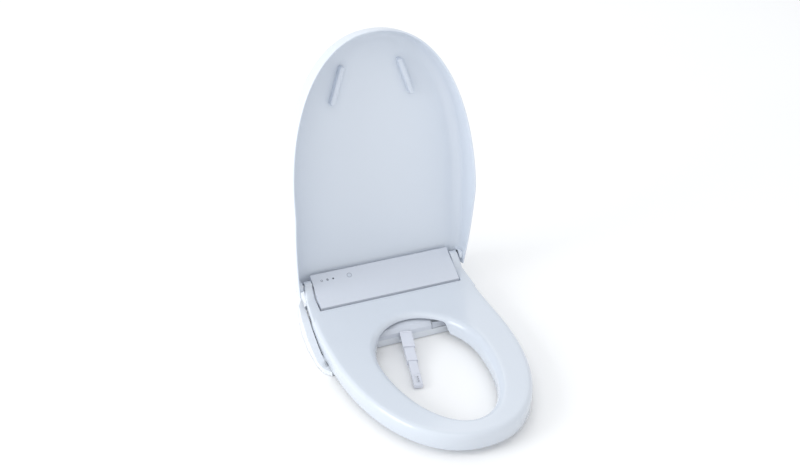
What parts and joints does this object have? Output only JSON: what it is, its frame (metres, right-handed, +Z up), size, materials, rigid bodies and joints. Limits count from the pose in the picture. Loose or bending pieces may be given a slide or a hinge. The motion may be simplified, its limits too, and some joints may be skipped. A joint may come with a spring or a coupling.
{
  "type": "electric bidet seat",
  "caption": "Electric bidet toilet seat with a soft-close lid, a contoured open-ring seat, a rear wash unit and a telescoping spray wand.",
  "frame": {"origin": "midway between the two bowl bolt holes, on the underside that rests on the bowl rim", "axes": "+Z up, -Y towards the front of the seat, +X to the right of a person who faces the front"},
  "size_m": [0.3403, 0.5467, 0.5164],
  "materials": {
    "lid_plastic": "smooth gloss, cool white",
    "seat_plastic": "smooth gloss, cool white",
    "cover_plastic": "smooth gloss, cool white",
    "case_plastic": "fine satin, cool white",
    "wand_plastic": "smooth gloss, cool white",
    "buffer_rubber": "satin, pale grey",
    "foot_rubber": "matt, pale grey",
    "stainless": "brushed",
    "lens_smoke": "translucent grey",
    "sensor_smoke": "translucent pale grey",
    "board_green": "solder mask",
    "grey_plastic": "matt",
    "black_plastic": "matt",
    "heater_foil": "foil",
    "hose_clear": "milky",
    "brass": "turned",
    "filter_grey": "matt"
  },
  "bodies": {
    "unit": {"top_cover": "cover_plastic", "base_case": "case_plastic", "side_housing": "cover_plastic", "indicator_lens_power": "lens_smoke", "indicator_lens_seat": "lens_smoke", "indicator_lens_energy": "lens_smoke", "remote_sensor_window": "sensor_smoke", "case_screws": "stainless", "case_foot_left": "foot_rubber", "case_foot_right": "foot_rubber", "left_hinge_pin": "stainless", "lid_damper": "grey_plastic", "seat_damper": "grey_plastic", "wand_guide": "grey_plastic", "wand_motor": "stainless", "dryer_duct": "grey_plastic", "blower_housing": "grey_plastic", "blower_motor": "stainless", "control_board": "board_green", "power_supply": "grey_plastic", "water_heater": "stainless", "solenoid_valve": "black_plastic", "indicator_board": "board_green", "flow_selector": "black_plastic", "water_pump": "grey_plastic", "inlet_hose": "hose_clear", "water_inlet": "brass", "cord_gland": "case_plastic"},
    "lid": {"lid_shell": "lid_plastic", "lid_buffer_left": "buffer_rubber", "lid_buffer_right": "buffer_rubber", "lid_hinge_shaft": "stainless"},
    "seat": {"seat_top_shell": "seat_plastic", "seat_bottom_shell": "case_plastic", "seat_heater_foil": "heater_foil", "seat_thermistor": "black_plastic", "seat_hinge_sleeve": "stainless", "seat_bumper_front_left": "foot_rubber", "seat_bumper_front_right": "foot_rubber", "seat_bumper_middle_left": "foot_rubber", "seat_bumper_middle_right": "foot_rubber"},
    "wand_outer": {"wand_outer_stage": "wand_plastic"},
    "wand_inner": {"wand_inner_stage": "wand_plastic", "nozzle_tip": "wand_plastic"},
    "drive_roller": {"wand_drive_roller": "black_plastic"},
    "guard": {"nozzle_guard": "wand_plastic"},
    "air_flap": {"dryer_flap": "wand_plastic"},
    "impeller": {"blower_impeller": "black_plastic"},
    "cartridge": {"deodorizer_cartridge": "filter_grey"},
    "drain": {"drain_knob": "case_plastic"},
    "release": {"release_button": "cover_plastic"},
    "bowl_plate": {"base_plate": "case_plastic", "bolt_bushings": "foot_rubber"}
  },
  "joints": [
    {"name": "lid_hinge", "type": "hinge", "parent": "unit", "child": "lid", "pos_m": [0, -0.0404, 0.071], "axis": [-1, 0, 0], "range_deg": [-101.6, 0]},
    {"name": "seat_hinge", "type": "hinge", "parent": "unit", "child": "seat", "pos_m": [0, -0.0404, 0.071], "axis": [-1, 0, 0], "range_deg": [0, 96]},
    {"name": "wand_extend", "type": "slide", "parent": "unit", "child": "wand_outer", "axis": [-0.2296, -0.9713, -0.0621], "range_m": [-0.072, 0]},
    {"name": "wand_telescope", "type": "slide", "parent": "wand_outer", "child": "wand_inner", "axis": [-0.2296, -0.9713, -0.0621], "range_m": [-0.054, 0]},
    {"name": "roller_spin", "type": "hinge", "parent": "unit", "child": "drive_roller", "pos_m": [0.01742, -0.13156, 0.01686], "axis": [-0.0143, -0.0604, 0.9981], "range_deg": [-690, 0]},
    {"name": "guard_hinge", "type": "hinge", "parent": "unit", "child": "guard", "pos_m": [-0.0068, -0.1684, 0.0223], "axis": [-0.9732, 0.23, 0], "range_deg": [0, 25]},
    {"name": "air_flap_hinge", "type": "hinge", "parent": "unit", "child": "air_flap", "pos_m": [0.06, -0.1664, 0.0263], "axis": [-1, 0, 0], "range_deg": [0, 60]},
    {"name": "impeller_spin", "type": "hinge", "parent": "unit", "child": "impeller", "pos_m": [0.06, 0.025, 0.04], "axis": [1, 0, 0], "continuous": true},
    {"name": "cartridge_slide", "type": "slide", "parent": "unit", "child": "cartridge", "axis": [-1, 0, 0], "range_m": [0, 0.036]},
    {"name": "drain_turn", "type": "hinge", "parent": "unit", "child": "drain", "pos_m": [0.1327, 0.03, 0.025], "axis": [1, 0, 0], "range_deg": [0, 90]},
    {"name": "release_press", "type": "slide", "parent": "unit", "child": "release", "axis": [-1, 0, 0], "range_m": [0, 0.003], "stiffness_N_per_m": 300},
    {"name": "plate_slide", "type": "slide", "parent": "unit", "child": "bowl_plate", "axis": [0, 1, 0], "range_m": [0, 0.05]}
  ],
  "couplings": [
    {"joint": "wand_telescope", "follows": "wand_extend", "ratio": 0.75},
    {"joint": "roller_spin", "follows": "wand_extend", "rad_per_m": 163.93}
  ]
}
